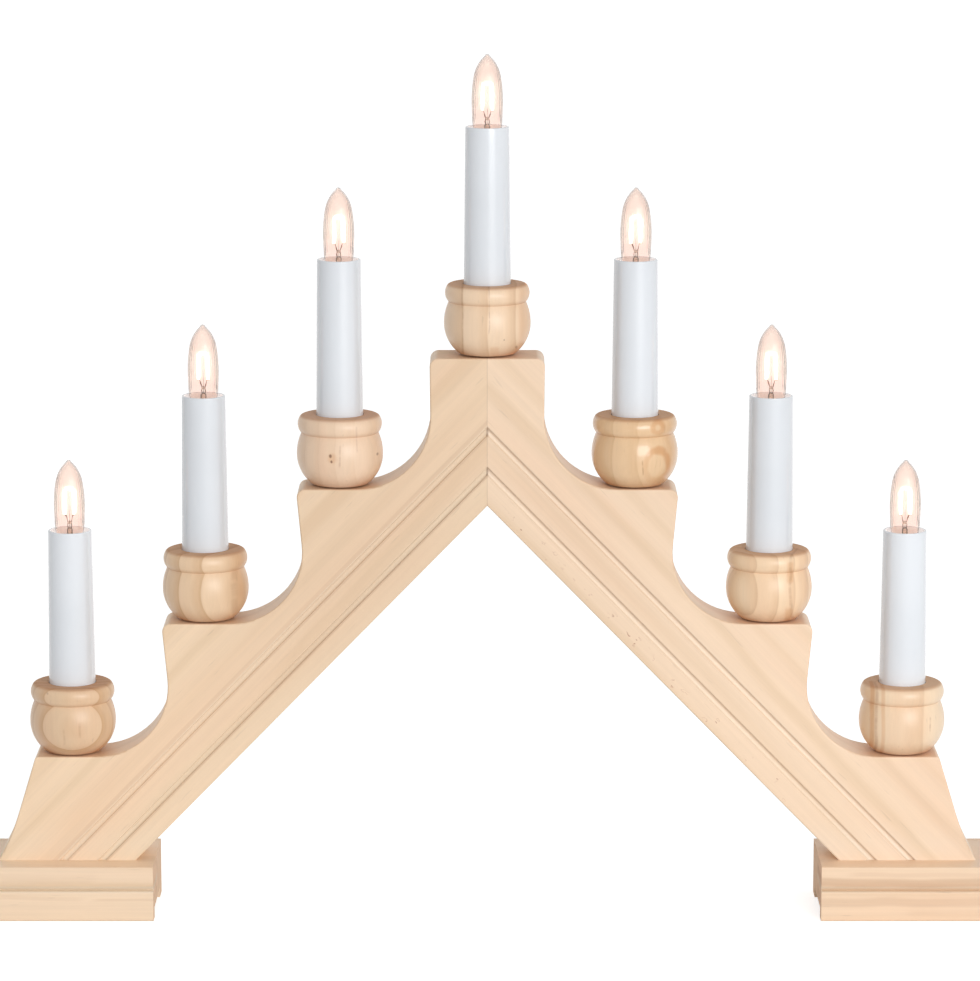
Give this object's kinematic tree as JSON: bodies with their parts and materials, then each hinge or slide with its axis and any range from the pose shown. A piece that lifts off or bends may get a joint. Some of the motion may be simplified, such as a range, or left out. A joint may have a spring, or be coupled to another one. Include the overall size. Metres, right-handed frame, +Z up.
{
  "type": "candle arch",
  "caption": "Inverted-V wooden candle arch with stepped scalloped ledges, turned cups, white candle tubes with clear flame-shaped bulbs that unscrew, and moulded feet.",
  "frame": {"origin": "on the floor under the apex, in the middle of the thickness", "axes": "+X to the right along the arch, +Z up, -Y towards the viewer"},
  "size_m": [0.491, 0.054, 0.4154],
  "materials": {
    "pine_board": "planed natural pine, grain along the plank, satin lacquer",
    "pine_foot": "moulded natural pine, grain along the foot, satin lacquer",
    "turned_pine": "turned pine with upright grain bands, satin lacquer",
    "beech_dowel": "smooth beech",
    "candle_plastic": "smooth glossy white moulding",
    "holder_plastic": "matte white moulding",
    "lamp_glass": "clear glass with fine upright ribs",
    "lamp_cap": "pressed brass sheet",
    "lamp_contact": "solder tip in a dark insulator",
    "lamp_mount": "glass stem with bright wires and a glowing filament",
    "contact_brass": "pressed brass sheet",
    "wire_insulation": "soft white insulation",
    "bushing_plastic": "white bushing",
    "screw_steel": "zinc plated"
  },
  "bodies": {
    "root": {"left_board": "pine_board", "right_board": "pine_board", "left_cover_strip": "pine_board", "right_cover_strip": "pine_board", "left_foot": "pine_foot", "right_foot": "pine_foot", "mitre_dowels": "beech_dowel", "foot_screws": "screw_steel", "cord_bushing": "bushing_plastic", "wiring": "wire_insulation", "holder_contacts": "contact_brass", "candle_cup_1": "turned_pine", "candle_tube_1": "candle_plastic", "lampholder_1": "holder_plastic", "candle_cup_2": "turned_pine", "candle_tube_2": "candle_plastic", "lampholder_2": "holder_plastic", "candle_cup_3": "turned_pine", "candle_tube_3": "candle_plastic", "lampholder_3": "holder_plastic", "candle_cup_4": "turned_pine", "candle_tube_4": "candle_plastic", "lampholder_4": "holder_plastic", "candle_cup_5": "turned_pine", "candle_tube_5": "candle_plastic", "lampholder_5": "holder_plastic", "candle_cup_6": "turned_pine", "candle_tube_6": "candle_plastic", "lampholder_6": "holder_plastic", "candle_cup_7": "turned_pine", "candle_tube_7": "candle_plastic", "lampholder_7": "holder_plastic"},
    "bulb_tip_1": {"bulb_contact_1": "lamp_contact"},
    "bulb_1": {"bulb_glass_1": "lamp_glass", "bulb_cap_1": "lamp_cap", "filament_mount_1": "lamp_mount"},
    "bulb_tip_2": {"bulb_contact_2": "lamp_contact"},
    "bulb_2": {"bulb_glass_2": "lamp_glass", "bulb_cap_2": "lamp_cap", "filament_mount_2": "lamp_mount"},
    "bulb_tip_3": {"bulb_contact_3": "lamp_contact"},
    "bulb_3": {"bulb_glass_3": "lamp_glass", "bulb_cap_3": "lamp_cap", "filament_mount_3": "lamp_mount"},
    "bulb_tip_4": {"bulb_contact_4": "lamp_contact"},
    "bulb_4": {"bulb_glass_4": "lamp_glass", "bulb_cap_4": "lamp_cap", "filament_mount_4": "lamp_mount"},
    "bulb_tip_5": {"bulb_contact_5": "lamp_contact"},
    "bulb_5": {"bulb_glass_5": "lamp_glass", "bulb_cap_5": "lamp_cap", "filament_mount_5": "lamp_mount"},
    "bulb_tip_6": {"bulb_contact_6": "lamp_contact"},
    "bulb_6": {"bulb_glass_6": "lamp_glass", "bulb_cap_6": "lamp_cap", "filament_mount_6": "lamp_mount"},
    "bulb_tip_7": {"bulb_contact_7": "lamp_contact"},
    "bulb_7": {"bulb_glass_7": "lamp_glass", "bulb_cap_7": "lamp_cap", "filament_mount_7": "lamp_mount"}
  },
  "joints": [
    {"name": "bulb_1_lift", "type": "slide", "parent": "root", "child": "bulb_tip_1", "axis": [0, 0, 1], "range_m": [0, 0.0073]},
    {"name": "bulb_1_turn", "type": "hinge", "parent": "bulb_tip_1", "child": "bulb_1", "pos_m": [-0.20049, 0, 0.1764], "axis": [0, 0, 1], "range_deg": [0, 1440]},
    {"name": "bulb_2_lift", "type": "slide", "parent": "root", "child": "bulb_tip_2", "axis": [0, 0, 1], "range_m": [0, 0.0073]},
    {"name": "bulb_2_turn", "type": "hinge", "parent": "bulb_tip_2", "child": "bulb_2", "pos_m": [-0.1355, 0, 0.2419], "axis": [0, 0, 1], "range_deg": [0, 1440]},
    {"name": "bulb_3_lift", "type": "slide", "parent": "root", "child": "bulb_tip_3", "axis": [0, 0, 1], "range_m": [0, 0.0073]},
    {"name": "bulb_3_turn", "type": "hinge", "parent": "bulb_tip_3", "child": "bulb_3", "pos_m": [-0.0705, 0, 0.3074], "axis": [0, 0, 1], "range_deg": [0, 1440]},
    {"name": "bulb_4_lift", "type": "slide", "parent": "root", "child": "bulb_tip_4", "axis": [0, 0, 1], "range_m": [0, 0.0073]},
    {"name": "bulb_4_turn", "type": "hinge", "parent": "bulb_tip_4", "child": "bulb_4", "pos_m": [0, 0, 0.3705], "axis": [0, 0, 1], "range_deg": [0, 1440]},
    {"name": "bulb_5_lift", "type": "slide", "parent": "root", "child": "bulb_tip_5", "axis": [0, 0, 1], "range_m": [0, 0.0073]},
    {"name": "bulb_5_turn", "type": "hinge", "parent": "bulb_tip_5", "child": "bulb_5", "pos_m": [0.0705, 0, 0.3074], "axis": [0, 0, 1], "range_deg": [0, 1440]},
    {"name": "bulb_6_lift", "type": "slide", "parent": "root", "child": "bulb_tip_6", "axis": [0, 0, 1], "range_m": [0, 0.0073]},
    {"name": "bulb_6_turn", "type": "hinge", "parent": "bulb_tip_6", "child": "bulb_6", "pos_m": [0.1355, 0, 0.2419], "axis": [0, 0, 1], "range_deg": [0, 1440]},
    {"name": "bulb_7_lift", "type": "slide", "parent": "root", "child": "bulb_tip_7", "axis": [0, 0, 1], "range_m": [0, 0.0073]},
    {"name": "bulb_7_turn", "type": "hinge", "parent": "bulb_tip_7", "child": "bulb_7", "pos_m": [0.20049, 0, 0.1764], "axis": [0, 0, 1], "range_deg": [0, 1440]}
  ],
  "couplings": [
    {"joint": "bulb_1_lift", "follows": "bulb_1_turn", "m_per_rad": 0.00028871},
    {"joint": "bulb_2_lift", "follows": "bulb_2_turn", "m_per_rad": 0.00028871},
    {"joint": "bulb_3_lift", "follows": "bulb_3_turn", "m_per_rad": 0.00028871},
    {"joint": "bulb_4_lift", "follows": "bulb_4_turn", "m_per_rad": 0.00028871},
    {"joint": "bulb_5_lift", "follows": "bulb_5_turn", "m_per_rad": 0.00028871},
    {"joint": "bulb_6_lift", "follows": "bulb_6_turn", "m_per_rad": 0.00028871},
    {"joint": "bulb_7_lift", "follows": "bulb_7_turn", "m_per_rad": 0.00028871}
  ]
}
